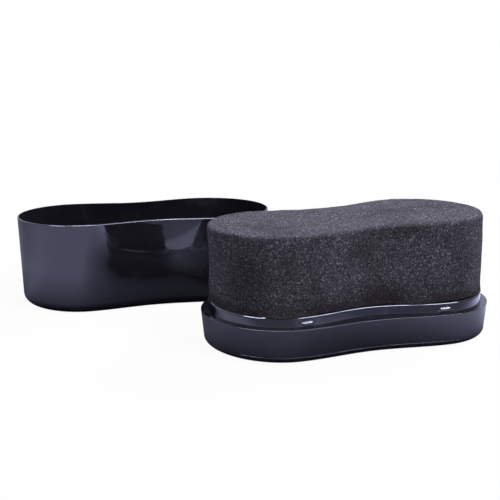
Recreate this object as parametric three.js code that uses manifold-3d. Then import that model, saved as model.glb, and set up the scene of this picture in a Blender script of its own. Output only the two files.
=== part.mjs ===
// Shoe shine sponge: a waisted foam block on a moulded base that feeds it with polish.
// Its push-on cap is off and stands mouth up beside the base.
// Millimetres, +Z up. The origin is the middle of the base's underside, and +X runs along the base.

import * as THREE from 'three';
import { mergeVertices } from 'three/addons/utils/BufferGeometryUtils.js';
import Module from 'manifold-3d';

const wasm = await Module();
wasm.setup();

// Plan outline of the base and the cap: two round lobes with a waist between them
const LENGTH = 110;
const LOBE_WIDTH = 61.3;
const WAIST_WIDTH = 56;
const LOBE_SPACING = 57;

// Base shell: skirt, ledge and collar
const BASE_HEIGHT = 12.2;
const SKIRT_TAPER = 1.2;
const SKIRT_WALL = 1.8;
const SKIRT_EDGE = 0.3;
const LEDGE_THICKNESS = 1.8;
const COLLAR_HEIGHT = 3.8;
const COLLAR_WALL = 1.4;
const COLLAR_DRAFT = 0.2;
const COLLAR_FILLET = 0.4;
const COLLAR_PINCH = 2;

// Snap bumps on the collar, which hold the cap
const BUMP_LENGTH = 5.5;
const BUMP_HEIGHT = 1.7;
const BUMP_RISE = 1.35;
const BUMP_OFFSET = 2;
const BUMP_CLEARANCE = 0.3;

// Base plate: rounded foot, floor, and the wall of the polish pan
const FOOT_HEIGHT = 2.3;
const FOOT_INSET = 3.2;
const FLOOR_THICKNESS = 1.8;
const PAN_WALL = 1.4;

// Feed plate between the pad and the foam
const FEED_THICKNESS = 1.5;
const HOLE_RADIUS = 1.5;
const HOLE_PITCH = 11;
const HOLE_MARGIN = 1.2;

// Soft pieces
const PAD_EDGE = 0.6;
const GLUE_WIDTH = 3;
const GLUE_THICKNESS = 0.5;
const GLUE_MARGIN = 0.8;
const SPONGE_HEIGHT = 33.7;
const SPONGE_OVERHANG = 1;
const SPONGE_ROUND = 1.2;
const SPONGE_FOOT = 0.5;
const SPONGE_FLARE = 7;
const SPONGE_RISE = 2.9;

// Cap, and where it has been put down
const CAP_WALL = 1.3;
const CAP_FIT = 1;
const CAP_HEADROOM = 1.5;
const CAP_TAPER = 1;
const CAP_PINCH = 2;
const CAP_PINCH_FADE = 8;
const CAP_CORNER = 4;
const CAP_SHIFT = -56.5;
const CAP_APART = 27.5;
const CAP_TURN = -2;

// Clearances: beside a neighbour, and above or below one
const SIDE_GAP = 0.3;
const SEAT_GAP = 0.3;

// Facets
const END_STEPS = 22;
const WAIST_STEPS = 12;
const ARC_STEPS = 4;
const CAP_STEPS = 4;
const BUMP_STEPS = 12;
const HOLE_SIDES = 12;

// Places that follow from the sizes above
const HALF_LENGTH = LENGTH / 2;
const HALF_LOBE = LOBE_WIDTH / 2;
const LOBE_X = LOBE_SPACING / 2;
const SKIRT_WAIST = WAIST_WIDTH / 2;
const COLLAR_WAIST = SKIRT_WAIST - COLLAR_PINCH;
const LEDGE_WIDTH = CAP_WALL + CAP_FIT;
const LEDGE_UNDER = BASE_HEIGHT - LEDGE_THICKNESS;
const COLLAR_TOP = BASE_HEIGHT + COLLAR_HEIGHT;
const RIM_RADIUS = (COLLAR_WALL - COLLAR_DRAFT) / 2;
const WELL_INSET = LEDGE_WIDTH + COLLAR_WALL;
const SKIRT_BOTTOM = FOOT_HEIGHT + SEAT_GAP;
const PAN_INSET = skirtInset(SKIRT_BOTTOM) + SKIRT_WALL + SIDE_GAP;
const FEED_TOP = LEDGE_UNDER - SEAT_GAP;
const FEED_BOTTOM = FEED_TOP - FEED_THICKNESS;
const PAN_TOP = FEED_BOTTOM - SEAT_GAP;
const GLUE_BOTTOM = FEED_TOP + SEAT_GAP;
const GLUE_INSET = WELL_INSET + SIDE_GAP + GLUE_MARGIN;
const SPONGE_SEAT = GLUE_BOTTOM + GLUE_THICKNESS + SEAT_GAP;
const SPONGE_TOP = SPONGE_SEAT + SPONGE_HEIGHT;
const CAP_HEIGHT = SPONGE_TOP + SPONGE_RISE / 2 - BASE_HEIGHT + CAP_HEADROOM + CAP_WALL;

// Inset of the skirt's outside at a height: none at the ledge, the whole taper at the table.
function skirtInset(z) {
  return SKIRT_TAPER * (1 - z / BASE_HEIGHT);
}

// Half width and slope of the outline's back between the lobes: a raised cosine dip at the waist.
function backEdge(x, waist) {
  const phase = Math.PI * x / LOBE_X;
  const dip = (HALF_LOBE - waist) / 2;
  return { y: HALF_LOBE - dip * (1 + Math.cos(phase)), slope: dip * Math.PI / LOBE_X * Math.sin(phase) };
}

// One ring of the outline, anticlockwise from above, drawn in by an inset along its normals.
// The ends are half ellipses. The second half of the ring is the first turned by half a turn.
function ring(waist, inset, z) {
  const endLength = HALF_LENGTH - LOBE_X;
  const half = [];
  const place = (x, y, normalX, normalY) => {
    const normal = new THREE.Vector2(normalX, normalY).normalize();
    half.push(new THREE.Vector3(x - inset * normal.x, y - inset * normal.y, z));
  };
  for (let i = 0; i < END_STEPS; i++) {
    const angle = (i / END_STEPS - 0.5) * Math.PI;
    const c = Math.cos(angle);
    const s = Math.sin(angle);
    place(LOBE_X + endLength * c, HALF_LOBE * s, c / endLength, s / HALF_LOBE);
  }
  for (let i = 0; i < WAIST_STEPS; i++) {
    const x = LOBE_X * (1 - 2 * i / WAIST_STEPS);
    const edge = backEdge(x, waist);
    place(x, edge.y, -edge.slope, 1);
  }
  return half.concat(half.map((p) => new THREE.Vector3(-p.x, -p.y, p.z)));
}

const skirtRing = ([inset, z]) => ring(SKIRT_WAIST, inset, z);
const collarRing = ([inset, z]) => ring(COLLAR_WAIST, inset, z);

// Points [inset, z] on an arc of a section, by angle in degrees: 0 is inwards and 90 is up.
function arc(inset, z, across, up, from, to) {
  const points = [];
  for (let i = 0; i <= ARC_STEPS; i++) {
    const angle = THREE.MathUtils.degToRad(from + (to - from) * i / ARC_STEPS);
    points.push([inset + across * Math.cos(angle), z + up * Math.sin(angle)]);
  }
  return points;
}

// Skin over a row of rings, outside first. An endless row closes on itself, as a band does.
// Any other is closed by a flat face at each end.
function skin(rings, endless = false) {
  const count = rings[0].length;
  const points = rings.flat();
  const index = [];
  const bands = endless ? rings.length : rings.length - 1;
  for (let k = 0; k < bands; k++) {
    const lower = k * count;
    const upper = ((k + 1) % rings.length) * count;
    for (let i = 0; i < count; i++) {
      const next = (i + 1) % count;
      index.push(lower + i, lower + next, upper + next);
      index.push(lower + i, upper + next, upper + i);
    }
  }
  if (!endless) {
    const first = points.push(new THREE.Vector3(0, 0, rings[0][0].z)) - 1;
    const last = points.push(new THREE.Vector3(0, 0, rings.at(-1)[0].z)) - 1;
    const top = (rings.length - 1) * count;
    for (let i = 0; i < count; i++) {
      const next = (i + 1) % count;
      index.push(first, next, i);
      index.push(last, top + i, top + next);
    }
  }
  const geometry = new THREE.BufferGeometry().setFromPoints(points);
  geometry.setIndex(index);
  return geometry;
}

// A closed mesh as a solid that can be joined or cut, and back again.
function toSolid(geometry) {
  const bare = geometry.clone();
  bare.deleteAttribute('normal');
  bare.deleteAttribute('uv');
  const merged = mergeVertices(bare);
  const vertProperties = new Float32Array(merged.attributes.position.array);
  const triVerts = new Uint32Array(merged.index.array);
  return new wasm.Manifold(new wasm.Mesh({ numProp: 3, vertProperties, triVerts }));
}

function toGeometry(solid) {
  const mesh = solid.getMesh();
  const geometry = new THREE.BufferGeometry();
  geometry.setAttribute('position', new THREE.BufferAttribute(mesh.vertProperties, mesh.numProp));
  geometry.setIndex(new THREE.BufferAttribute(mesh.triVerts, 1));
  return geometry;
}

function piece(name, geometry, color, roughness) {
  geometry.computeVertexNormals();
  const material = new THREE.MeshStandardMaterial({ color, roughness, metalness: 0 });
  const mesh = new THREE.Mesh(geometry, material);
  mesh.name = name;
  return mesh;
}

// Lens-shaped bump on the collar's outside, half sunk in the wall, turned along the outline.
function snapBump(sideX, sideY) {
  const x = LOBE_X - BUMP_OFFSET;
  const edge = backEdge(x, COLLAR_WAIST);
  const turn = Math.atan(edge.slope);
  const inset = LEDGE_WIDTH + COLLAR_DRAFT / 2;
  const reach = CAP_FIT + COLLAR_DRAFT / 2 - BUMP_CLEARANCE;
  const geometry = new THREE.SphereGeometry(1, BUMP_STEPS, BUMP_STEPS / 2);
  geometry.rotateX(Math.PI / 2);
  geometry.scale(BUMP_LENGTH / 2, reach, BUMP_HEIGHT / 2);
  geometry.rotateZ(sideX * sideY * turn);
  const along = x + inset * Math.sin(turn);
  const across = edge.y - inset * Math.cos(turn);
  geometry.translate(sideX * along, sideY * across, BASE_HEIGHT + BUMP_RISE);
  return toSolid(geometry);
}

// The section runs up the skirt, over the ledge and the collar's round rim, and down the inside.
function baseShell() {
  const rimMiddle = WELL_INSET - RIM_RADIUS;
  const rimBase = COLLAR_TOP - RIM_RADIUS;
  const section = [
    skirtRing([skirtInset(SKIRT_BOTTOM) + SKIRT_WALL, SKIRT_BOTTOM]),
    skirtRing([skirtInset(SKIRT_BOTTOM), SKIRT_BOTTOM]),
    ...arc(SKIRT_EDGE, BASE_HEIGHT - SKIRT_EDGE, SKIRT_EDGE, SKIRT_EDGE, 180, 90).map(skirtRing),
    ...arc(LEDGE_WIDTH - COLLAR_FILLET, BASE_HEIGHT + COLLAR_FILLET,
      COLLAR_FILLET, COLLAR_FILLET, -90, 0).map(collarRing),
    ...arc(rimMiddle, rimBase, RIM_RADIUS, RIM_RADIUS, 180, 0).map(collarRing),
    collarRing([WELL_INSET, LEDGE_UNDER]),
    skirtRing([skirtInset(LEDGE_UNDER) + SKIRT_WALL, LEDGE_UNDER]),
  ];
  let solid = toSolid(skin(section, true));
  for (const sideX of [1, -1]) {
    for (const sideY of [1, -1]) {
      solid = solid.add(snapBump(sideX, sideY));
    }
  }
  return toGeometry(solid);
}

// The foot is a quarter ellipse, and the pan's wall stands just inside the skirt.
function basePlate() {
  const edge = skirtInset(FOOT_HEIGHT);
  return skin([
    ...arc(edge + FOOT_INSET, FOOT_HEIGHT, FOOT_INSET, FOOT_HEIGHT, 270, 180),
    [PAN_INSET, FOOT_HEIGHT],
    [PAN_INSET, PAN_TOP],
    [PAN_INSET + PAN_WALL, PAN_TOP],
    [PAN_INSET + PAN_WALL, FLOOR_THICKNESS],
  ].map(skirtRing));
}

function reservoirPad() {
  const inset = PAN_INSET + PAN_WALL + SIDE_GAP;
  const bottom = FLOOR_THICKNESS + SEAT_GAP;
  return skin([
    [inset + PAD_EDGE, bottom],
    [inset, bottom + PAD_EDGE],
    [inset, PAN_TOP - PAD_EDGE],
    [inset + PAD_EDGE, PAN_TOP],
  ].map(skirtRing));
}

// True where a hole at x, y keeps its margin to the glue bead.
function holeFits(x, y) {
  const margin = GLUE_INSET + GLUE_WIDTH + HOLE_MARGIN + HOLE_RADIUS;
  const beyond = Math.max(0, Math.abs(x) - LOBE_X) / (HALF_LENGTH - LOBE_X - margin);
  if (beyond >= 1) return false;
  const middle = Math.abs(x) < LOBE_X ? backEdge(x, COLLAR_WAIST).y : HALF_LOBE;
  return Math.abs(y) <= (middle - margin) * Math.sqrt(1 - beyond * beyond);
}

function feedPlate() {
  const inset = skirtInset(PAN_TOP) + SKIRT_WALL + SIDE_GAP;
  const outline = skirtRing([inset, 0]).map((p) => new THREE.Vector2(p.x, p.y));
  const shape = new THREE.Shape(outline);
  const columns = Math.floor(HALF_LENGTH / HOLE_PITCH);
  const rows = Math.floor(HALF_LOBE / HOLE_PITCH);
  for (let column = -columns; column <= columns; column++) {
    for (let row = -rows; row <= rows; row++) {
      const x = column * HOLE_PITCH;
      const y = row * HOLE_PITCH;
      if (holeFits(x, y)) {
        shape.holes.push(new THREE.Path().absarc(x, y, HOLE_RADIUS, 0, 2 * Math.PI, true));
      }
    }
  }
  const settings = { depth: FEED_THICKNESS, bevelEnabled: false, curveSegments: HOLE_SIDES / 2 };
  return new THREE.ExtrudeGeometry(shape, settings).translate(0, 0, FEED_BOTTOM);
}

// A flat bead all round, set in from the edge of the foam's foot.
function spongeGlue() {
  const top = GLUE_BOTTOM + GLUE_THICKNESS;
  return skin([
    [GLUE_INSET + GLUE_WIDTH, GLUE_BOTTOM],
    [GLUE_INSET, GLUE_BOTTOM],
    [GLUE_INSET, top],
    [GLUE_INSET + GLUE_WIDTH, top],
  ].map(collarRing), true);
}

// The foam is a plug inside the collar, flares out above the rim, and is cut a little taller
// towards +X: every point rises with its height above the seat and its place along X.
function sponge() {
  const plug = WELL_INSET + SIDE_GAP;
  const side = WELL_INSET - SPONGE_OVERHANG;
  const lip = COLLAR_TOP + SEAT_GAP;
  const geometry = skin([
    [plug + SPONGE_FOOT, SPONGE_SEAT],
    [plug, SPONGE_SEAT + SPONGE_FOOT],
    [plug, COLLAR_TOP - RIM_RADIUS],
    [WELL_INSET, lip],
    [side, lip + SPONGE_FLARE],
    ...arc(side + SPONGE_ROUND, SPONGE_TOP - SPONGE_ROUND, SPONGE_ROUND, SPONGE_ROUND, 180, 90),
  ].map(collarRing));
  const position = geometry.attributes.position;
  for (let i = 0; i < position.count; i++) {
    const share = (position.getZ(i) - SPONGE_SEAT) / SPONGE_HEIGHT;
    position.setZ(i, position.getZ(i) + share * SPONGE_RISE * position.getX(i) / LENGTH);
  }
  return geometry;
}

// A tapered cup with its closed end down. Its mouth draws in at the waist, as the collar does,
// and this fades out below the mouth.
function cap() {
  const inner = CAP_CORNER - CAP_WALL;
  const middle = CAP_TAPER + CAP_CORNER;
  const capRing = ([inset, z]) => {
    const pinch = CAP_PINCH * Math.exp((z - CAP_HEIGHT) / CAP_PINCH_FADE);
    return ring(SKIRT_WAIST - pinch, inset, z);
  };
  const drop = [];
  for (let i = 0; i < CAP_STEPS; i++) drop.push((i / CAP_STEPS) ** 2);
  const wall = (inset) => drop.map((s) => [inset + CAP_TAPER * s, CAP_HEIGHT - s * (CAP_HEIGHT - CAP_CORNER)]);
  return skin([
    ...arc(middle, CAP_CORNER, CAP_CORNER, CAP_CORNER, 270, 180),
    ...wall(0).reverse(),
    ...wall(CAP_WALL),
    ...arc(middle, CAP_CORNER, inner, inner, 180, 270),
  ].map(capRing));
}

const black = 0x24232b;

const base = new THREE.Group();
base.add(piece('base_shell', baseShell(), black, 0.15));
base.add(piece('base_plate', basePlate(), black, 0.15));
base.add(piece('reservoir_pad', reservoirPad(), 0x3a332c, 1));
base.add(piece('feed_plate', feedPlate(), black, 0.4));
base.add(piece('sponge_glue', spongeGlue(), 0xd8cfa8, 0.5));
base.add(piece('sponge', sponge(), 0x3c3a40, 0.95));

const cover = new THREE.Group();
cover.position.set(CAP_SHIFT, LOBE_WIDTH + CAP_APART, 0);
cover.rotation.z = THREE.MathUtils.degToRad(CAP_TURN);
cover.add(piece('cap', cap(), black, 0.1));

const part = new THREE.Group();
part.add(base, cover);

export default part;
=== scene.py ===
"""Looks of a shoe shine sponge: smooth mouldings, cut foam, soaked felt, and a plain studio stage.

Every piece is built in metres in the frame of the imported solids, which it rides on.
"""

import math

import bpy
import numpy as np
from bpy.props import FloatProperty, FloatVectorProperty, PointerProperty
from mathutils import Matrix, Vector


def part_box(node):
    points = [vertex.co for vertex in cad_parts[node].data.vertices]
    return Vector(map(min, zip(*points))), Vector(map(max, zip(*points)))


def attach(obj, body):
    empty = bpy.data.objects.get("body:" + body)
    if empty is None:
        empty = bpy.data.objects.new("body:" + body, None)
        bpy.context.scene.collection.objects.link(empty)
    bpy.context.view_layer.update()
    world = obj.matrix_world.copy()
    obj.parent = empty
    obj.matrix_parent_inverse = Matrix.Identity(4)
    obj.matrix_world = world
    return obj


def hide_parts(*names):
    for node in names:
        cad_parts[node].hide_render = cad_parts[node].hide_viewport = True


bl_info = {
    "name": "Shoe Shine Sponge",
    "version": (1, 0, 0),
    "blender": (4, 5, 0),
    "location": "3D View > Sidebar > Shoe Sponge",
    "description": "Builds the visible surfaces, finishes and studio stage of a shoe shine sponge",
    "category": "Object",
}

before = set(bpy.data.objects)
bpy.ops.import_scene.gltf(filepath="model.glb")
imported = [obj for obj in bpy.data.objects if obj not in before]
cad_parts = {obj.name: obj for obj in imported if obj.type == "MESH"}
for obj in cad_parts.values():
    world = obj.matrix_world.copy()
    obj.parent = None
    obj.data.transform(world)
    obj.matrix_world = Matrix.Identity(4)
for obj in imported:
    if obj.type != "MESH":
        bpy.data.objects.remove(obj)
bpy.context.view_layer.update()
SHELL_LOW, SHELL_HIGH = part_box("base_shell")
_, PLATE_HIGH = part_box("base_plate")
PAD_LOW, PAD_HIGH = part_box("reservoir_pad")
FOAM_LOW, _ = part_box("sponge")
CAP_LOW, CAP_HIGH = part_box("cap")

MM = 0.001

# Middle and reach of the places where the foam took up most polish, and how strongly they are stained. The
# last is no stain but painted shade: a thin band along the rim, where the foam meets the collar
STAINS_AND_RIM_SHADE = (
    ((0.001, -0.026, 0.018), (0.016, 0.012, 0.008), 0.75),
    ((-0.044, -0.018, 0.029), (0.009, 0.015, 0.012), 0.6),
    ((0.010, -0.024, 0.0425), (0.016, 0.008, 0.004), 0.5),
    # painted shade: a thin band along the rim
    ((0, 0, 0.0165), (0.2, 0.2, 0.004), 0.7),
)
# The same for pale patches painted on the cap's side as a painted reflection
PAINTED_REFLECTION_PATCHES = (
    ((-0.044, 0.060, 0.021), (0.011, 0.006, 0.009), 1.0),
    ((-0.046, 0.060, 0.032), (0.012, 0.006, 0.006), 0.8),
)
# Where the foam was pushed in unevenly and hangs over the rim: middle along the front, and half length
HANGING = ((-34 * MM, 7 * MM), (16.5 * MM, 5.5 * MM))
# Softboxes: place, sides, watts, and whether one only shows in gloss or only lights surfaces
LAMPS = {
    "key_softbox": ((0.56, 0.31, 0.63), (0.25, 0.25), 2.9, False),
    "right_softbox": ((0.27, -0.36, 0.68), (0.3, 0.3), 4.0, False),
    "left_softbox": ((-0.5, -0.06, 0.68), (0.25, 0.25), 1.55, False),
    "right_strip": ((0.27, -0.44, 0.6), (0.75, 0.2), 9.5, True),
    "left_strip": ((-0.55, -0.1, 0.55), (0.4, 0.2), 6, True),
    "top_strip": ((-0.15, -0.12, 0.9), (0.5, 0.3), 14, True),
}


def linear(code):
    """Linear RGB of an sRGB hex colour such as "#1a2b3c"."""
    srgb = np.array([int(code[i:i + 2], 16) for i in (1, 3, 5)]) / 255
    curve = ((srgb + 0.055) / 1.055) ** 2.4
    return tuple(np.where(srgb <= 0.04045, srgb / 12.92, curve).tolist())


def size(name, description, metres):
    """A length that a user may change."""
    return FloatProperty(name=name, description=description, default=metres, min=0,
                         unit="LENGTH", precision=5)


def colour(name, description, code):
    """A colour that a user may change, given as sRGB hex."""
    return FloatVectorProperty(name=name, description=description, default=linear(code),
                               size=3, min=0, max=1, subtype="COLOR")


class ShoeSpongePlastic(bpy.types.PropertyGroup):
    """Sizes of the moulded pieces."""

    length: size("Length", "Length of the base over both lobes", SHELL_HIGH.x - SHELL_LOW.x)
    lobe_width: size("Lobe width", "Width of the base over a lobe", SHELL_HIGH.y - SHELL_LOW.y)
    waist_width: size("Waist width", "Width of the skirt and the cap at the waist", 56 * MM)
    lobe_spacing: size("Lobe spacing", "Distance between the widest places of the two lobes", 57 * MM)
    collar_pinch: size("Collar pinch", "How much further the collar draws in at the waist", 2 * MM)
    base_height: size("Base height", "Height of the ledge above the table", 12.2 * MM)
    skirt_taper: size("Skirt taper", "How far the skirt draws in towards the table", 1.2 * MM)
    skirt_wall: size("Skirt wall", "Wall of the skirt", 1.8 * MM)
    ledge_width: size("Ledge width", "Ledge that the cap lands on", 2.3 * MM)
    ledge_thickness: size("Ledge thickness", "Thickness of the ledge", 1.8 * MM)
    collar_wall: size("Collar wall", "Wall of the collar", 1.4 * MM)
    collar_foot: size("Collar foot", "Height of the collar's upright foot above the ledge", 0.6 * MM)
    collar_draft: size("Collar draft", "How far the collar leans in towards its rim", 0.42 * MM)
    bump_length: size("Bump length", "Length of a snap bump", 5.5 * MM)
    bump_height: size("Bump height", "Height of a snap bump", 1.7 * MM)
    bump_reach: size("Bump reach", "How far a snap bump stands out", 0.5 * MM)
    bump_rise: size("Bump rise", "Height of a snap bump's middle above the ledge", 1.35 * MM)
    bump_offset: size("Bump offset", "Distance of a snap bump from the lobe's widest place", 2 * MM)
    foot_height: size("Foot height", "Height of the base plate's rounded foot", 2.3 * MM)
    foot_inset: size("Foot inset", "How far the foot rounds in", 3.2 * MM)
    seam: size("Seam", "Gap of the seam between the shell and the foot", 0.1 * MM)
    floor_thickness: size("Floor thickness", "Floor of the polish pan", 1.8 * MM)
    pan_gap: size("Pan gap", "Gap between the skirt and the pan's wall", 0.3 * MM)
    pan_wall: size("Pan wall", "Wall of the polish pan", 1.4 * MM)
    cap_wall: size("Cap wall", "Wall of the cap", 1.3 * MM)
    cap_lip: size("Cap lip", "Width of the cap's rim, where the wall thins out", 0.6 * MM)
    cap_taper: size("Cap taper", "How far the cap draws in towards its closed end", 1 * MM)
    cap_pinch: size("Cap pinch", "How much further the cap draws in at the waist of its mouth", 2 * MM)
    cap_fade: size("Cap pinch fade", "Height below the mouth over which the pinch fades", 8 * MM)
    cap_corner: size("Cap corner", "Radius round the cap's closed end", 4 * MM)
    cap_turn: FloatProperty(name="Cap turn", description="Turn of the cap where it was put down",
                            default=math.radians(-2), subtype="ANGLE")


class ShoeSpongeSoft(bpy.types.PropertyGroup):
    """Sizes of the foam and the felt."""

    height: size("Height", "Height of the foam block in the middle", 33.7 * MM)
    overhang: size("Overhang", "How far the foam stands out over the collar's inside", 1 * MM)
    flare: size("Flare", "Height above the rim over which the foam comes out", 7 * MM)
    bulge: size("Bulge", "How far the foam hangs over the rim where it was pushed in unevenly", 0.25 * MM)
    hollow: size("Hollow", "How far the foam's left end is hollow at mid height", 0.7 * MM)
    rise: size("Rise", "How much taller the foam is cut at its right end", 2.9 * MM)
    rounding: size("Rounding", "Radius of the foam's worn top edge", 1.2 * MM)
    wear: size("Wear", "How far the top edge is worn down at the right end", 1 * MM)
    dip: size("Dip", "How far the foam's top sags in the middle", 0.5 * MM)
    cell: size("Cell", "Larger cells of the foam, which are cut open", 0.8 * MM)
    cell_depth: size("Cell depth", "Depth of the cut cells", 0.16 * MM)
    felt_nap: size("Felt nap", "Height of the felt's uneven nap", 0.25 * MM)


class ShoeSpongeFinish(bpy.types.PropertyGroup):
    """Colours of the materials."""

    plastic: colour("Plastic", "Black polystyrene, slightly blue", "#201f26")
    # This colour also paints the pale patches on the cap, a painted reflection
    haze_and_reflection: colour("Haze", "Thin film of polish and handling marks on the plastic", "#3b3a45")
    # The lit strut and shaded pit colours are copies of one colour: painted light and painted shade
    foam_lit_strut: colour("Foam strut", "Lit struts of the foam", "#787483")
    foam_shaded_pit: colour("Foam pit", "Shaded bottoms of the foam's cells", "#201e24")
    # painted glint: pale specks where cut faces would catch the light
    foam_painted_glint: colour("Foam speck", "Cut faces of struts that catch the light", "#bab8c4")
    # also the painted shade along the rim
    foam_stain_and_shade: colour("Foam stain", "Brownish places where polish has soaked in", "#2d2826")
    felt: colour("Felt", "Wool felt soaked with polish", "#3a332c")
    glue: colour("Glue", "Hot-melt glue", "#d6cca4")
    plate: colour("Plate", "Satin black of the feed plate", "#1c1b20")


class ShoeSpongeStage(bpy.types.PropertyGroup):
    """Camera and light."""

    lens: FloatProperty(name="Lens", description="Focal length on a 36 mm wide sensor", default=66.088,
                        min=1, unit="CAMERA")
    roll: FloatProperty(name="Roll", description="Turn of the camera about its line of sight",
                        default=math.radians(0.488), subtype="ANGLE")
    camera_place: FloatVectorProperty(name="Camera place", description="Where the camera stands",
                                      default=(-0.13998, -0.3062, 0.09978),
                                      subtype="TRANSLATION", unit="LENGTH")
    camera_sight: FloatVectorProperty(name="Camera sight", description="Direction that the camera looks in",
                                      default=(0.31083, 0.92957, -0.19822), subtype="DIRECTION")
    bounce: colour("Bounce", "How much the floor lights the object", "#7a7a7e")
    mirrored: colour("Mirrored", "The floor as the plastic mirrors it, in cool light", "#d4d8ff")
    paper: colour("Paper", "White of the floor as it is seen", "#fcfcfc")


GROUPS = {
    "plastic": ShoeSpongePlastic,
    "soft": ShoeSpongeSoft,
    "finish": ShoeSpongeFinish,
    "stage": ShoeSpongeStage,
}


def settings(group):
    """One of the property groups on the scene."""
    return getattr(bpy.context.scene, "shoe_sponge_" + group)


def outline(steps, inset, waist, z):
    """Rings of the plan outline, one for each inset, waist and height, with their outward normals.

    The right end is half an ellipse about the lobe's place, x = lobe + end cos a and y = half width sin a.
    The back runs from lobe to lobe as y = half width - dip (1 + cos(pi x / lobe)), a raised cosine whose dip
    is half of half width less waist. The other half of the ring is the first turned by half a turn. Each
    point then moves in along its normal by the inset. steps holds the points on an end and on a back.
    """
    p = settings("plastic")
    lobe, half = p.lobe_spacing / 2, p.lobe_width / 2
    end = p.length / 2 - lobe
    inset, waist, z = (np.reshape(a, (-1, 1)) for a in np.broadcast_arrays(inset, waist, z))
    angle = np.linspace(-math.pi / 2, math.pi / 2, steps[0], endpoint=False)
    back = np.linspace(lobe, -lobe, steps[1], endpoint=False)
    dip = (half - waist) / 2
    rows = np.ones_like(waist)
    x = np.hstack([rows * (lobe + end * np.cos(angle)), rows * back])
    y = np.hstack([rows * (half * np.sin(angle)), half - dip * (1 + np.cos(math.pi * back / lobe))])
    slope = dip * math.pi / lobe * np.sin(math.pi * back / lobe)
    nx = np.hstack([rows * (np.cos(angle) / end), -slope])
    ny = np.hstack([rows * (np.sin(angle) / half), np.ones_like(slope)])
    reach = np.hypot(nx, ny)
    nx, ny = nx / reach, ny / reach
    x, y = x - inset * nx, y - inset * ny
    x, y = np.hstack([x, -x]), np.hstack([y, -y])
    points = np.stack([x, y, np.broadcast_to(z, x.shape)], -1)
    normals = np.stack([np.hstack([nx, -nx]), np.hstack([ny, -ny]), np.zeros(points.shape[:2])], -1)
    return points, normals


def section(corners, endless, arc_steps=8, support=0.12 * MM):
    """Section line through corners (inset, z, waist, radius, rows), each rounded by its radius.

    A corner becomes the arc that touches both of its sides, with one point a little before and after it, so
    that shading stays flat between the arcs. rows is how many further points lie between this arc and the
    next. An open line keeps its first and last corner as they are. Returns the columns inset, z and waist.
    """
    table = np.array(corners, float)
    place, last = table[:, :2], len(table) - 1
    arcs = []
    for k, here in enumerate(place):
        if not endless and k in (0, last):
            arcs.append(here[None])
            continue
        u, v = place[k - 1] - here, place[(k + 1) % len(place)] - here
        u, v = u / np.linalg.norm(u), v / np.linalg.norm(v)
        half = math.acos(np.clip(u @ v, -1, 1)) / 2
        radius, spread = table[k, 3], math.pi - 2 * half
        middle = here + (u + v) / np.linalg.norm(u + v) * radius / math.sin(half)
        first = here + u * radius / math.tan(half) - middle
        second = here + v * radius / math.tan(half) - middle
        turn = np.linspace(0, 1, arc_steps + 1)[:, None]
        swept = np.sin((1 - turn) * spread) * first + np.sin(turn * spread) * second
        arc = middle + swept / math.sin(spread)
        arcs.append(np.vstack([arc[0] + u * support, arc, arc[-1] + v * support]))
    parts = []
    for k, arc in enumerate(arcs):
        ahead = arcs[(k + 1) % len(arcs)][0]
        share = np.linspace(0, 1, int(table[k, 4]) + 2)[1:-1, None]
        line = np.vstack([arc, arc[-1] + share * (ahead - arc[-1])])
        parts.append(np.column_stack([line, np.full(len(line), table[k, 2])]))
    return np.vstack(parts).T


def band(rings, endless=False):
    """Quads between neighbouring rings, which face outwards where each ring lies above the one before."""
    rows, count = rings.shape[:2]
    lower = np.arange(rows if endless else rows - 1)[:, None] * count
    upper = (lower + count) % (rows * count)
    here = np.arange(count)
    ahead = (here + 1) % count
    return np.stack([lower + here, lower + ahead, upper + ahead, upper + here], -1).reshape(-1, 4)


def fan(ring, pole, upwards):
    """Triangles from a ring, given by its first index and its count, to a point in its middle."""
    first, count = ring
    here = first + np.arange(count)
    ahead = first + (np.arange(count) + 1) % count
    middle = np.full(count, pole)
    return np.stack([middle, here, ahead] if upwards else [middle, ahead, here], -1)


def new_piece(name, points, faces, sharp=None):
    """Mesh object from points and arrays of faces, smooth except at edges past the sharp angle."""
    mesh = bpy.data.meshes.new(name)
    mesh.from_pydata(points.reshape(-1, 3).tolist(), [], [f for part in faces for f in part.tolist()])
    if mesh.validate():
        raise RuntimeError(f"{name} has faces that don't fit together")
    mesh.shade_smooth()
    if sharp is not None:
        mesh.set_sharp_from_angle(angle=sharp)
    made = bpy.data.objects.new(name, mesh)
    bpy.context.scene.collection.objects.link(made)
    return made


def dress(piece, body, material, node):
    """The piece rides on a body, stands for a node, and wears a material."""
    piece.data.materials.clear()
    piece.data.materials.append(material)
    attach(piece, body)
    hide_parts(node)


def scatter(x, y, z, seed):
    """Even random numbers from 0 to 1 for whole-number places, always the same for the same place."""
    x, y, z = (whole.astype(np.int64) for whole in (x, y, z))
    mixed = (x * 73856093) ^ (y * 19349663) ^ (z * 83492791)
    mixed = (mixed + seed * 2654435761) & 0xFFFFFFFF
    for shift, factor in ((16, 0x7FEB352D), (15, 0x846CA68B)):
        mixed = ((mixed ^ (mixed >> shift)) * factor) & 0xFFFFFFFF
    return (mixed ^ (mixed >> 16)) / 0x100000000


def ripple(points, length, seed):
    """Smooth noise from -1 to 1: random values on a lattice of that length, eased between its corners."""
    cell = points / length
    low = np.floor(cell)
    part = cell - low
    ease = part * part * (3 - 2 * part)
    total = np.zeros(len(points))
    for corner in np.ndindex(2, 2, 2):
        weight = np.prod(np.where(corner, ease, 1 - ease), axis=1)
        total += weight * scatter(*(low + corner).T, seed)
    return 2 * total - 1


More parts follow.
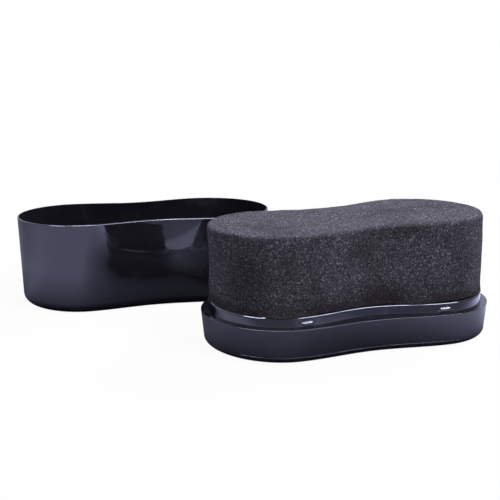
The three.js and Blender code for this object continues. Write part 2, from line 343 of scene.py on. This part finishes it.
def cells(points, length, seed):
    """Foam cells: 0 on the walls between cells and up to 1 in their middles.

    One seed point lies at random in each cube of that length. The value is the distance to the second
    nearest seed less the distance to the nearest one, eased and cut off at half a cell.
    """
    cell = points / length
    low = np.floor(cell)
    near = np.full(len(points), np.inf)
    second = near.copy()
    for step in np.ndindex(3, 3, 3):
        cube = low + np.array(step) - 1
        spot = cube + np.stack([scatter(*cube.T, seed + k) for k in range(3)], -1)
        away = np.linalg.norm(spot - cell, axis=1)
        second = np.minimum(second, np.maximum(near, away))
        near = np.minimum(near, away)
    share = np.clip((second - near) / 0.5, 0, 1)
    return share * share * (3 - 2 * share)


def add_node(tree, kind, inputs, **values):
    """A node of this kind with its settings, and its inputs set to values or linked to other outputs."""
    node = tree.nodes.new(kind)
    for name, value in values.items():
        setattr(node, name, value)
    for key, value in inputs.items():
        if isinstance(value, bpy.types.NodeSocket):
            tree.links.new(value, node.inputs[key])
        else:
            node.inputs[key].default_value = value
    return node


def new_material(name):
    """An empty node material, its tree, and the object coordinates in metres."""
    material = bpy.data.materials.new(name)
    material.use_nodes = True
    tree = material.node_tree
    tree.nodes.clear()
    return material, tree, add_node(tree, "ShaderNodeTexCoord", {}).outputs["Object"]


def show(tree, shader):
    """Connects a shader to the material's output."""
    add_node(tree, "ShaderNodeOutputMaterial", {"Surface": shader.outputs[0]})


def ramp(tree, value, first, last, low=0.0, high=1.0):
    """A smooth change from low to high as the value goes from first to last."""
    return add_node(tree, "ShaderNodeMapRange", {
        "Value": value, "From Min": first, "From Max": last, "To Min": low, "To Max": high},
        interpolation_type="SMOOTHSTEP").outputs[0]


def blend(tree, share, first, second):
    """A colour that goes by a share from the first to the second, each a colour or a node's output."""
    ends = [c if isinstance(c, bpy.types.NodeSocket) else (*c, 1) for c in (first, second)]
    return add_node(tree, "ShaderNodeMix", {0: share, 6: ends[0], 7: ends[1]}, data_type="RGBA").outputs[2]


def spots(tree, place, ragged, places, most):
    """The larger of a value and of ragged spots, each given as its middle, its reach and its strength."""
    for centre, reach, share in places:
        offset = add_node(tree, "ShaderNodeVectorMath", {0: place, 1: centre}, operation="SUBTRACT")
        scaled = add_node(tree, "ShaderNodeVectorMath", {0: offset.outputs[0], 1: reach}, operation="DIVIDE")
        away = add_node(tree, "ShaderNodeVectorMath", {0: scaled.outputs[0]}, operation="LENGTH")
        edge = add_node(tree, "ShaderNodeMath", {
            0: ragged, 1: -1.0, 2: away.outputs["Value"]}, operation="MULTIPLY_ADD")
        spot = ramp(tree, edge.outputs[0], -0.3, 0.7, share, 0.0)
        most = add_node(tree, "ShaderNodeMath", {0: most, 1: spot}, operation="MAXIMUM").outputs[0]
    return most


def moulded_polystyrene(name, offset, reflection_patches=()):
    """Black polystyrene, injection moulded in a polished tool.

    It is a near mirror over a deep blue black, with IOR 1.59 and low roughness. Handling leaves smudges about
    14 mm across that dull the gloss. In the places given a paler patch is painted, a painted reflection.
    Cooling leaves a waviness of about 25 mm that bends reflections slightly. The offset sets the pieces'
    patterns apart.
    """
    finish = settings("finish")
    material, tree, place = new_material(name)
    moved = add_node(tree, "ShaderNodeVectorMath", {0: place, 1: offset}, operation="ADD").outputs[0]
    smudge = add_node(tree, "ShaderNodeTexNoise", {
        "Vector": moved, "Scale": 1 / (14 * MM), "Detail": 4.0, "Roughness": 0.6,
        "Distortion": 0.8}).outputs["Fac"]
    dull = ramp(tree, smudge, 0.52, 0.7)
    film = add_node(tree, "ShaderNodeMath", {0: dull, 1: 0.12}, operation="MULTIPLY").outputs[0]
    # paler tone: handling smudges, and painted reflection in the patches given
    tone = blend(tree, spots(tree, place, smudge, reflection_patches, film), finish.plastic, finish.haze_and_reflection)
    rough = add_node(tree, "ShaderNodeMapRange", {"Value": dull, "To Min": 0.05, "To Max": 0.2})
    wave = add_node(tree, "ShaderNodeTexNoise", {"Vector": moved, "Scale": 1 / (25 * MM), "Detail": 1.0})
    bump = add_node(tree, "ShaderNodeBump", {
        "Height": wave.outputs["Fac"], "Strength": 0.7, "Distance": 0.12 * MM})
    show(tree, add_node(tree, "ShaderNodeBsdfPrincipled", {
        "Base Color": tone, "Roughness": rough.outputs[0], "IOR": 1.59, "Specular IOR Level": 0.8,
        "Specular Tint": (0.92, 0.94, 1, 1), "Normal": bump.outputs[0]}))
    return material


def open_cell_foam(name):
    """Charcoal polyurethane foam, open celled and cut with a blade.

    Struts stand round cells of 0.34 mm, so it looks granular and dull. The struts get a lit copy of the
    foam's colour and the cells' middles a darker copy, painted light and painted shade. About one cell in ten
    gets a pale speck, a painted glint where a cut face would catch the light. The mesh gives the larger open
    cells, and their pits get painted shade too. Polish has soaked in as faint stains about 18 mm across, and
    darker where it
    was fed most: low at the waist, low at the left end and under the front top edge. A thin band along the
    rim is painted shade where the foam meets the collar.
    """
    finish = settings("finish")
    material, tree, place = new_material(name)
    pit = add_node(tree, "ShaderNodeAttribute", {}, attribute_name="pit").outputs["Fac"]
    fine = add_node(tree, "ShaderNodeTexVoronoi", {"Vector": place, "Scale": 1 / (0.34 * MM)})
    grain = add_node(tree, "ShaderNodeSeparateColor", {"Color": fine.outputs["Color"]})
    # painted shade: the cells' middles, and the mesh's pits, go towards the shaded pit colour
    pore_shade = ramp(tree, fine.outputs["Distance"], 0.15, 0.6, 1.0, 0.0)
    hole_shade = add_node(tree, "ShaderNodeMath", {0: pore_shade, 1: grain.outputs["Red"]}, operation="MULTIPLY")
    blotch = add_node(tree, "ShaderNodeTexNoise", {
        "Vector": place, "Scale": 1 / (0.55 * MM), "Detail": 2.0, "Roughness": 0.7})
    mottle = add_node(tree, "ShaderNodeMapRange", {
        "Value": blotch.outputs["Fac"], "From Min": 0.35, "From Max": 0.65, "To Max": 0.7})
    coarse_shade_and_mottle = add_node(tree, "ShaderNodeMath", {
        0: pit, 1: 0.3, 2: mottle.outputs[0]}, operation="MULTIPLY_ADD")
    # share of painted shade, with a random mottle; the bump also takes it as the cells' height
    depth = add_node(tree, "ShaderNodeMath", {0: hole_shade.outputs[0], 1: 0.6, 2: coarse_shade_and_mottle.outputs[0]},
                     operation="MULTIPLY_ADD", use_clamp=True).outputs[0]
    body = blend(tree, depth, finish.foam_lit_strut, finish.foam_shaded_pit)
    # painted glint on about one cell in ten
    glint = add_node(tree, "ShaderNodeMapRange", {
        "Value": grain.outputs["Green"], "From Min": 0.9, "From Max": 1.0, "To Max": 1.0})
    glinted = blend(tree, glint.outputs[0], body, finish.foam_painted_glint)
    patch = add_node(tree, "ShaderNodeTexNoise", {
        "Vector": place, "Scale": 1 / (18 * MM), "Detail": 3.0, "Roughness": 0.55}).outputs["Fac"]
    # stains, and painted shade along the rim
    stain_and_shade = spots(tree, place, patch, STAINS_AND_RIM_SHADE, ramp(tree, patch, 0.45, 0.75, 0.0, 0.5))
    bump = add_node(tree, "ShaderNodeBump", {
        "Height": depth, "Strength": 0.6, "Distance": 0.12 * MM}, invert=True)
    show(tree, add_node(tree, "ShaderNodeBsdfPrincipled", {
        "Base Color": blend(tree, stain_and_shade, glinted, finish.foam_stain_and_shade), "Roughness": 0.9, "IOR": 1.5,
        "Specular IOR Level": 0.08, "Normal": bump.outputs[0]}))
    return material


def grained(name, tint, change, noise, relief, surface):
    """A material whose grain changes its tint by a factor, with a relief of this strength and height."""
    material, tree, place = new_material(name)
    grain = add_node(tree, "ShaderNodeTexNoise", {"Vector": place, **noise}).outputs["Fac"]
    bump = add_node(tree, "ShaderNodeBump", {"Height": grain, "Strength": relief[0], "Distance": relief[1]})
    show(tree, add_node(tree, "ShaderNodeBsdfPrincipled", {
        "Base Color": blend(tree, grain, tint, [change * c for c in tint]),
        "Normal": bump.outputs[0], **surface}))
    return material


def soaked_felt(name):
    """Pressed wool felt, dark and matted with polish: fibres of about 0.4 mm that run every way."""
    return grained(name, settings("finish").felt, 1.7,
                   {"Scale": 1 / (0.4 * MM), "Detail": 3.0, "Distortion": 2.5},
                   (0.6, 0.3 * MM), {"Roughness": 0.9, "IOR": 1.5})


def hot_melt_glue(name):
    """Hot-melt glue, set from a bead: ivory, waxy, with slow ripples of about 3 mm and a soft shine."""
    return grained(name, settings("finish").glue, 0.8, {"Scale": 1 / (3 * MM), "Detail": 2.0},
                   (0.5, 0.2 * MM), {"Roughness": 0.35, "IOR": 1.49})


def satin_polypropylene(name):
    """Black polypropylene from a spark-eroded tool: an even satin with a grain of about 0.25 mm."""
    return grained(name, settings("finish").plate, 1.4, {"Scale": 1 / (0.25 * MM), "Detail": 2.0},
                   (0.3, 0.05 * MM), {"Roughness": 0.45, "IOR": 1.49})


def skirt_inset(z):
    """Inset of the skirt's outside: none at the ledge and the whole taper at the table."""
    p = settings("plastic")
    return p.skirt_taper * (1 - z / p.base_height)


class SHOESPONGE_OT_base_shell(bpy.types.Operator):
    """Builds the skirt, ledge and collar from one section line round the outline, with four snap bumps"""

    bl_idname = "shoe_sponge.base_shell"
    bl_label = "Base Shell"

    def execute(self, context):
        p = settings("plastic")
        skirt, collar = p.waist_width / 2, p.waist_width / 2 - p.collar_pinch
        bottom, top = p.foot_height + p.seam, SHELL_HIGH.z
        under = p.base_height - p.ledge_thickness
        well = p.ledge_width + p.collar_wall
        inset, z, waist = section([
            (skirt_inset(bottom) + p.skirt_wall, bottom, skirt, 0.2 * MM, 0),
            (skirt_inset(bottom), bottom, skirt, 0.12 * MM, 4),
            (0, p.base_height, skirt, 0.12 * MM, 2),
            (p.ledge_width, p.base_height, collar, 0.01 * MM, 2),
            (p.ledge_width, p.base_height + p.collar_foot, collar, 1 * MM, 20),
            (p.ledge_width + p.collar_draft, top, collar, 0.85 * MM, 0),
            (well, top, collar, 0.25 * MM, 4),
            (well, under, collar, 0.2 * MM, 0),
            (skirt_inset(under) + p.skirt_wall, under, skirt, 0.3 * MM, 3),
        ], endless=True, arc_steps=6, support=0.04 * MM)
        points, normals = outline((240, 150), inset, waist, z)
        points = points + normals * self.bumps(points, inset, collar)[..., None]
        piece = new_piece("base_shell_moulding", points, [band(points, endless=True)], math.radians(40))
        material = moulded_polystyrene("base_polystyrene", (0, 0, 0))
        dress(piece, "base", material, "base_shell")
        return {"FINISHED"}

    def bumps(self, points, inset, collar):
        """How far each point of the collar's outside stands out: reach times (1 - along^2 - up^2), a lens.

        along and up are the distances from a bump's middle, along the outline and up, in half sizes.
        """
        p = settings("plastic")
        lobe, half = p.lobe_spacing / 2, p.lobe_width / 2
        x = lobe - p.bump_offset
        dip = (half - collar) / 2
        y = half - dip * (1 + math.cos(math.pi * x / lobe)) - p.ledge_width
        face = (inset < p.ledge_width + p.collar_wall / 2)[:, None]
        up = (points[..., 2] - p.base_height - p.bump_rise) / (p.bump_height / 2)
        out = np.zeros(points.shape[:2])
        for side in np.array([(1, 1), (1, -1), (-1, 1), (-1, -1)]):
            away = np.linalg.norm(points[..., :2] - side * (x, y), axis=-1) / (p.bump_length / 2)
            out = np.maximum(out, 1 - away ** 2 - up ** 2)
        return np.where(face, out, 0) * p.bump_reach


class SHOESPONGE_OT_base_plate(bpy.types.Operator):
    """Builds the base plate: a foot rounded by a quarter ellipse, and the polish pan inside the skirt"""

    bl_idname = "shoe_sponge.base_plate"
    bl_label = "Base Plate"

    def execute(self, context):
        p = settings("plastic")
        skirt, high, top = p.waist_width / 2, p.foot_height, PLATE_HIGH.z
        edge = skirt_inset(high)
        pan = skirt_inset(SHELL_LOW.z) + p.skirt_wall + p.pan_gap
        turn = np.linspace(0, math.pi / 2, 20)
        rounded = edge + p.foot_inset * (1 - np.sin(turn))
        foot = np.stack([rounded, high * (1 - np.cos(turn)), np.full_like(turn, skirt)])
        wall = section([
            (edge, high - 0.2 * MM, skirt, 0, 0),
            (edge, high, skirt, 0.08 * MM, 0),
            (pan, high, skirt, 0.2 * MM, 0),
            (pan, top, skirt, 0.3 * MM, 0),
            (pan + p.pan_wall, top, skirt, 0.3 * MM, 0),
            (pan + p.pan_wall, p.floor_thickness, skirt, 0.4 * MM, 0),
            (pan + p.pan_wall + 3 * MM, p.floor_thickness, skirt, 0, 0),
        ], endless=False, support=0.04 * MM)
        flat = np.array([[edge + p.foot_inset + 1 * MM], [0], [skirt]])
        inset, z, waist = np.hstack([flat, foot[:, foot[1] < high - 0.25 * MM], wall])
        rings, _ = outline((160, 100), inset, waist, z)
        count = rings.shape[1]
        poles = np.array([(0, 0, 0), (0, 0, p.floor_thickness)])
        points = np.vstack([rings.reshape(-1, 3), poles])
        first = len(points) - 2
        faces = [band(rings), fan((0, count), first, False), fan((first - count, count), first + 1, True)]
        piece = new_piece("base_plate_moulding", points, faces, math.radians(40))
        material = moulded_polystyrene("plate_polystyrene", (0.2, 0, 0))
        dress(piece, "base", material, "base_plate")
        return {"FINISHED"}


class SHOESPONGE_OT_cap(bpy.types.Operator):
    """Builds the cap as a tapered cup, closed end down

    Its waist draws in by the pinch times e to the power of minus the depth below the mouth over the fade.
    """

    bl_idname = "shoe_sponge.cap"
    bl_label = "Cap"

    def execute(self, context):
        p = settings("plastic")
        high, wall, flat = CAP_HIGH.z, p.cap_wall, 9 * MM
        lean = p.cap_taper / (high - p.cap_corner)
        inset, z, _ = section([
            (flat, 0, 0, 0, 0),
            (lean * high, 0, 0, p.cap_corner, 40),
            (0, high, 0, 0.4 * MM, 0),
            (p.cap_lip, high, 0, 0.12 * MM, 40),
            (wall + lean * (high - wall), wall, 0, p.cap_corner - wall, 0),
            (flat, wall, 0, 0, 0),
        ], endless=False, arc_steps=12, support=0.05 * MM)
        waist = p.waist_width / 2 - p.cap_pinch * np.exp((z - high) / p.cap_fade)
        rings, _ = outline((200, 140), inset, waist, z)
        count = rings.shape[1]
        points = np.vstack([rings.reshape(-1, 3), [(0, 0, 0), (0, 0, wall)]])
        first = len(points) - 2
        faces = [band(rings), fan((0, count), first, False), fan((first - count, count), first + 1, True)]
        c, s = math.cos(p.cap_turn), math.sin(p.cap_turn)
        place = (CAP_LOW + CAP_HIGH) / 2
        points = points @ np.array([(c, s, 0), (-s, c, 0), (0, 0, 1)]) + (place.x, place.y, 0)
        piece = new_piece("cap_moulding", points, faces, math.radians(40))
        material = moulded_polystyrene("cap_polystyrene", (0, 0.3, 0), PAINTED_REFLECTION_PATCHES)
        dress(piece, "cap", material, "cap")
        return {"FINISHED"}


def lid(rings, steps, across, along):
    """Points over the last of the rings and the quads that close it, without the pinch of a fan.

    The grid is a rectangle of across by along cells, bent to the ring: a point's share of the way out is the
    larger of its two distances from the middle, and its place on the ring is where the ray through it leaves
    the rectangle, counted along the ring. The rectangle's right side is centred on the ring's right end.
    Returns the inner points, their shares and the quads, counted from the first of the rings.
    """
    a, b = np.meshgrid(np.linspace(-1, 1, across + 1), np.linspace(-1, 1, along + 1))
    share = np.maximum(np.abs(a), np.abs(b))
    safe = np.where(share == 0, 1, share)
    a, b = a / safe, b / safe
    rows, count = rings.shape[:2]
    right, half = steps[0] / 2, across + along
    spot = np.select(
        [a >= 1, b >= 1, a <= -1],
        [right + along / 2 * b, right + along / 2 + across / 2 * (1 - a), right + half - along / 2 * b],
        right + half + along / 2 + across / 2 * (1 + a)) % count
    inner = share < 1
    low = np.floor(spot[inner]).astype(int)
    part = (spot[inner] - low)[:, None]
    edge = rings[-1]
    middle = np.array([0, 0, edge[0, 2]])
    filled = edge[low % count] * (1 - part) + edge[(low + 1) % count] * part
    filled = middle + (filled - middle) * share[inner][:, None]
    index = np.where(inner, 0, np.round(spot).astype(int) % count + (rows - 1) * count)
    index[inner] = rows * count + np.arange(len(filled))
    quads = np.stack([index[:-1, :-1], index[:-1, 1:], index[1:, 1:], index[1:, :-1]], -1).reshape(-1, 4)
    return filled, share[inner], quads


class SHOESPONGE_OT_sponge(bpy.types.Operator):
    """Builds the foam block: a plug in the collar, a bulging side and a sloping top, all pitted with cells"""

    bl_idname = "shoe_sponge.sponge"
    bl_label = "Foam Sponge"

    def execute(self, context):
        p, soft = settings("plastic"), settings("soft")
        waist = p.waist_width / 2 - p.collar_pinch
        well = p.ledge_width + p.collar_wall
        seat, lip = FOAM_LOW.z, SHELL_HIGH.z + 0.1 * MM
        top = seat + soft.height
        gap, margin, core = 0.3 * MM, 2.4 * MM, 26 * MM
        plug, side = well + gap, well - soft.overhang
        inset, z, _ = section([
            (plug + 6 * MM, seat, waist, 0, 0),
            (plug, seat, waist, 0.5 * MM, 5),
            (plug, lip, waist, 0.1 * MM, 0),
            (well - gap, lip, waist, 0.2 * MM, 16),
            (side, lip + soft.flare, waist, 4 * MM, 48),
            (side, top, waist, soft.rounding, 0),
            (side + margin, top, waist, 0, 0),
        ], endless=False, arc_steps=5)
        steps = (224, 144)
        rings, normals = outline(steps, inset, waist, z)
        count = rings.shape[1]
        filled, share, quads = lid(rings, steps, 240, 128)
        points = np.vstack([rings.reshape(-1, 3), filled, [(0, 0, seat)]])
        plan = np.vstack([normals.reshape(-1, 3), np.zeros_like(filled), [(0, 0, 0)]])
        depth = np.concatenate([np.repeat(inset - side, count), margin + (1 - share) * core, [0]])
        ease = np.clip((points[:, 2] - (top - soft.rounding)) / soft.rounding, 0, 1)[:, None]
        facing = plan * (1 - ease) + np.array((0, 0, 1.0)) * ease
        facing[-1] = (0, 0, -1)
        facing /= np.linalg.norm(facing, axis=1)[:, None]
        points = self.settle(points, plan, depth, seat, top, lip)
        pit = cells(points, soft.cell, 11)
        shown = np.clip((points[:, 2] - lip) / (0.5 * MM), 0, 1)
        rough = -soft.cell_depth * pit + 0.12 * MM * ripple(points, 4 * MM, 5) + 0.06 * MM
        points = points + facing * (rough * shown)[:, None]
        faces = [band(rings), quads, fan((0, count), len(points) - 1, False)]
        piece = new_piece("sponge_foam", points, faces)
        piece.data.attributes.new("pit", "FLOAT", "POINT").data.foreach_set("value", pit.astype(np.float32))
        dress(piece, "base", open_cell_foam("cut_polyurethane_foam"), "sponge")
        return {"FINISHED"}

    def settle(self, points, plan, depth, seat, top, lip):
        """The block as it is cut, pushed in and worn.

        Height grows by rise times x over length, times the share of the height above the seat, and the top
        sags by dip times cos^2 of x over the length. The top edge at the right end wears down by wear times
        the plan normal's x squared, which fades within 1.2 mm of the edge. The left end is hollow by a sine
        of the height. Where the block was pushed in unevenly it doesn't draw in above the rim, and hangs over
        it by bulge and down by sag: bells along x, the same on both sides after half a turn, and one at the
        right end.
        """
        p, soft = settings("plastic"), settings("soft")
        x, z = points[:, 0], points[:, 2]
        share = (z - seat) / (top - seat)
        lift = share * soft.rise * x / p.length
        lift -= share ** 2 * soft.dip * np.cos(math.pi * np.clip(x / p.length, -0.5, 0.5)) ** 2
        worn = soft.wear * np.clip(plan[:, 0], 0, 1) ** 2 * np.exp(-depth / (1.2 * MM))
        lift -= np.where(share > 0.9, worn, 0)
        along = np.where(plan[:, 1] < 0, x, -x)
        bell = sum(np.exp(-((along - middle) / half) ** 4) for middle, half in HANGING)
        bell = np.maximum(bell, np.clip(plan[:, 0] * 2.5 - 1, 0, 1))
        outside = z > lip - 0.05 * MM
        out = depth * np.clip(1 - (z - lip) / soft.flare, 0, 1)
        out = out + soft.bulge * np.exp(-((z - lip) / (1.5 * MM)) ** 2)
        out = np.where(outside & (share < 0.5), bell * out, 0)
        sine = np.sin(math.pi * np.clip((z - lip) / (top - lip), 0, 1))
        out -= soft.hollow * np.clip(-plan[:, 0], 0, 1) ** 2 * sine
        moved = points + plan * out[:, None]
        sag = 0.2 * MM * bell * np.exp(-((z - lip) / (1 * MM)) ** 2)
        moved[:, 2] += lift - np.where(outside, sag, 0)
        return moved


class SHOESPONGE_OT_reservoir_pad(bpy.types.Operator):
    """Builds the felt pad that holds the polish: a flat block with soft edges and an uneven nap"""

    bl_idname = "shoe_sponge.reservoir_pad"
    bl_label = "Reservoir Pad"

    def execute(self, context):
        p, soft = settings("plastic"), settings("soft")
        waist = p.waist_width / 2
        low, high = PAD_LOW.z, PAD_HIGH.z
        side = p.length / 2 - PAD_HIGH.x
        inset, z, _ = section([
            (side + 6 * MM, low, waist, 0, 0),
            (side, low, waist, 1 * MM, 4),
            (side, high, waist, 1 * MM, 0),
            (side + 1.8 * MM, high, waist, 0, 0),
        ], endless=False, arc_steps=4)
        steps = (112, 72)
        rings, _ = outline(steps, inset, waist, z)
        count = rings.shape[1]
        filled, _, quads = lid(rings, steps, 120, 64)
        points = np.vstack([rings.reshape(-1, 3), filled, [(0, 0, low)]])
        nap = soft.felt_nap * (ripple(points, 3 * MM, 21) - 1) / 2
        points[:, 2] += np.where(points[:, 2] > high - 0.1 * MM, nap, 0)
        faces = [band(rings), quads, fan((0, count), len(points) - 1, False)]
        piece = new_piece("reservoir_felt", points, faces)
        dress(piece, "base", soaked_felt("soaked_wool_felt"), "reservoir_pad")
        return {"FINISHED"}


class SHOESPONGE_OT_inner_plates(bpy.types.Operator):
    """Gives the feed plate and the glue bead, which keep their solids, their own finishes"""

    bl_idname = "shoe_sponge.inner_plates"
    bl_label = "Feed Plate and Glue"

    def execute(self, context):
        for node, material in (("feed_plate", satin_polypropylene("feed_plate_polypropylene")),
                               ("sponge_glue", hot_melt_glue("set_hot_melt_glue"))):
            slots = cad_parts[node].data.materials
            slots.clear()
            slots.append(material)
        return {"FINISHED"}


class SHOESPONGE_OT_stage(bpy.types.Operator):
    """Sets up a pale floor, softboxes round the object, white surroundings and the camera"""

    bl_idname = "shoe_sponge.stage"
    bl_label = "Studio Stage"

    def execute(self, context):
        stage = settings("stage")
        scene = context.scene
        scene.view_settings.view_transform = "Standard"
        self.floor(stage)
        self.surroundings(scene)
        for name, lamp in LAMPS.items():
            self.softbox(scene, name, *lamp)
        self.camera(scene, stage)
        return {"FINISHED"}

    def floor(self, stage):
        """A flat floor, white where it is seen, with a faint shadow near the object.

        The plastic mirrors it as a pool of cool light, an emission painted on the floor that only mirrored
        rays see.
        The painted light fades away from the object and behind the cap's left end, painted shade darkens it
        in the nook at the object's foot, and it is stronger close by on the right.
        """
        extent, level = 4.0, -0.05 * MM
        corners = np.array([(-extent, -extent, level), (extent, -extent, level),
                            (extent, extent, level), (-extent, extent, level)])
        made = new_piece("floor", corners, [np.array([(0, 1, 2, 3)])])
        material, tree, place = new_material("studio_floor")
        direct, glossy = self.rays(tree)
        plain = ramp(tree, self.away(tree, place, (-0.02, 0.04, 0)), 0.08, 0.3, 0.95, 1.0)
        weight = add_node(tree, "ShaderNodeMath", {0: direct, 1: plain}, operation="MULTIPLY")
        tone = blend(tree, direct, stage.bounce, stage.paper)
        matt = add_node(tree, "ShaderNodeBsdfDiffuse", {"Color": tone})
        white = add_node(tree, "ShaderNodeEmission", {"Color": (1, 1, 1, 1), "Strength": 1.0})
        seen = add_node(tree, "ShaderNodeMixShader", {
            0: weight.outputs[0], 1: matt.outputs[0], 2: white.outputs[0]})
        near = ramp(tree, self.away(tree, place, (0, 0, 0)), 0.12, 0.2, 1.0, 0.0)
        across = add_node(tree, "ShaderNodeSeparateXYZ", {0: place}).outputs[0]
        right = ramp(tree, across, -0.06, 0.03)
        boost = add_node(tree, "ShaderNodeMath", {
            0: near, 1: right, 2: 1.12}, operation="MULTIPLY_ADD").outputs[0]
        back = ramp(tree, self.facing(tree, place, (-0.105, 0.1, 0), (0, -1, 0)), -1.0, 0.3, 0.3, 1.0)
        pool = ramp(tree, self.away(tree, place, (-0.08, 0.05, 0)), 0.2, 0.4, 1.0, 0.4)
        # painted shade: ambient occlusion darkens the painted light at the object's foot
        nook = add_node(tree, "ShaderNodeAmbientOcclusion", {"Distance": 60 * MM}, samples=8)
        glow = add_node(tree, "ShaderNodeMath", {0: nook.outputs["AO"], 1: 5.0}, operation="POWER")
        for part in (boost, back, pool):
            glow = add_node(tree, "ShaderNodeMath", {0: glow.outputs[0], 1: part}, operation="MULTIPLY")
        gloss = add_node(tree, "ShaderNodeEmission", {
            "Color": (*stage.mirrored, 1), "Strength": glow.outputs[0]})
        show(tree, add_node(tree, "ShaderNodeMixShader", {
            0: glossy, 1: seen.outputs[0], 2: gloss.outputs[0]}))
        made.data.materials.append(material)

    def rays(self, tree):
        """Whether a ray comes from the camera, also through something clear, and whether it was mirrored."""
        ray = add_node(tree, "ShaderNodeLightPath", {}).outputs
        direct = add_node(tree, "ShaderNodeMath", {
            0: ray["Is Camera Ray"], 1: ray["Is Transmission Ray"]}, operation="MAXIMUM")
        return direct.outputs[0], ray["Is Glossy Ray"]

    def away(self, tree, place, centre):
        """Distance of the place from a centre."""
        return add_node(tree, "ShaderNodeVectorMath", {
            0: place, 1: centre}, operation="DISTANCE").outputs["Value"]

    def facing(self, tree, place, centre, course):
        """Cosine of the angle, seen from above, between a course and the way from the centre to the place."""
        way = add_node(tree, "ShaderNodeVectorMath", {0: place, 1: centre}, operation="SUBTRACT")
        level = add_node(tree, "ShaderNodeVectorMath", {
            0: way.outputs[0], 1: (1, 1, 0)}, operation="MULTIPLY")
        unit = add_node(tree, "ShaderNodeVectorMath", {0: level.outputs[0]}, operation="NORMALIZE")
        return add_node(tree, "ShaderNodeVectorMath", {0: unit.outputs[0], 1: course},
                        operation="DOT_PRODUCT").outputs["Value"]

    def surroundings(self, scene):
        """White where they are seen, a cool wall in gloss, brighter behind than in front, and a low fill."""
        world = bpy.data.worlds.new("studio")
        world.use_nodes = True
        tree = world.node_tree
        tree.nodes.clear()
        direct, glossy = self.rays(tree)
        towards = add_node(tree, "ShaderNodeTexCoord", {}).outputs["Generated"]
        wall = ramp(tree, self.facing(tree, towards, (0, 0, 0), (0, 1, 0)), 0.0, 0.5, 0.4, 0.85)
        fill = add_node(tree, "ShaderNodeBackground", {"Color": (1, 1, 1, 1), "Strength": 0.07})
        mirrored = add_node(tree, "ShaderNodeBackground", {"Color": (0.7, 0.73, 1, 1), "Strength": wall})
        white = add_node(tree, "ShaderNodeBackground", {"Color": (1, 1, 1, 1), "Strength": 1.0})
        inner = add_node(tree, "ShaderNodeMixShader", {0: glossy, 1: fill.outputs[0], 2: mirrored.outputs[0]})
        both = add_node(tree, "ShaderNodeMixShader", {0: direct, 1: inner.outputs[0], 2: white.outputs[0]})
        add_node(tree, "ShaderNodeOutputWorld", {"Surface": both.outputs[0]})
        scene.world = world

    def softbox(self, scene, name, place, sides, watts, gloss):
        """A softbox that faces the object. It either lights surfaces or only shows in their gloss."""
        lamp = bpy.data.lights.new(name, "AREA")
        lamp.shape = "RECTANGLE"
        lamp.size, lamp.size_y = sides
        lamp.energy = watts
        lamp.color = (0.76, 0.79, 1.0) if gloss else (0.97, 0.98, 1.0)
        made = bpy.data.objects.new(name, lamp)
        aim = Vector((0, 0.02, 0.02))
        away = Vector(place) - aim
        made.matrix_world = Matrix.Translation(place) @ away.to_track_quat("Z", "Y").to_matrix().to_4x4()
        made.visible_diffuse = not gloss
        made.visible_glossy = gloss
        scene.collection.objects.link(made)

    def camera(self, scene, stage):
        """The camera at its place, along its line of sight and with its roll."""
        camera = bpy.data.objects.new("camera", bpy.data.cameras.new("camera"))
        scene.collection.objects.link(camera)
        ahead = Vector(stage.camera_sight).normalized()
        right = ahead.cross(Vector((0, 0, 1))).normalized()
        up = right.cross(ahead)
        c, s = math.cos(stage.roll), math.sin(stage.roll)
        turned = Matrix((right * c - up * s, right * s + up * c, -ahead)).transposed()
        camera.matrix_world = Matrix.Translation(stage.camera_place) @ turned.to_4x4()
        camera.data.sensor_width = 36
        camera.data.lens = stage.lens
        camera.data.clip_start = 0.01
        scene.camera = camera


class VIEW3D_PT_shoe_sponge(bpy.types.Panel):
    """Sidebar panel that lists the pieces and their sizes"""

    bl_label = "Shoe Shine Sponge"
    bl_idname = "VIEW3D_PT_shoe_sponge"
    bl_space_type = "VIEW_3D"
    bl_region_type = "UI"
    bl_category = "Shoe Sponge"

    def draw(self, context):
        for operator in OPERATORS:
            self.layout.operator(operator.bl_idname)
        for group, kind in GROUPS.items():
            box = self.layout.box()
            for name in kind.__annotations__:
                box.prop(getattr(context.scene, "shoe_sponge_" + group), name)


OPERATORS = (
    SHOESPONGE_OT_base_shell,
    SHOESPONGE_OT_base_plate,
    SHOESPONGE_OT_reservoir_pad,
    SHOESPONGE_OT_inner_plates,
    SHOESPONGE_OT_sponge,
    SHOESPONGE_OT_cap,
    SHOESPONGE_OT_stage,
)
CLASSES = (*GROUPS.values(), *OPERATORS, VIEW3D_PT_shoe_sponge)


def register():
    for kind in CLASSES:
        bpy.utils.register_class(kind)
    for group, kind in GROUPS.items():
        setattr(bpy.types.Scene, "shoe_sponge_" + group, PointerProperty(type=kind))


def unregister():
    for group in GROUPS:
        delattr(bpy.types.Scene, "shoe_sponge_" + group)
    for kind in reversed(CLASSES):
        bpy.utils.unregister_class(kind)


def main():
    register()
    bpy.ops.shoe_sponge.base_shell()
    bpy.ops.shoe_sponge.base_plate()
    bpy.ops.shoe_sponge.reservoir_pad()
    bpy.ops.shoe_sponge.inner_plates()
    bpy.ops.shoe_sponge.sponge()
    bpy.ops.shoe_sponge.cap()
    bpy.ops.shoe_sponge.stage()


if __name__ == "__main__":
    main()
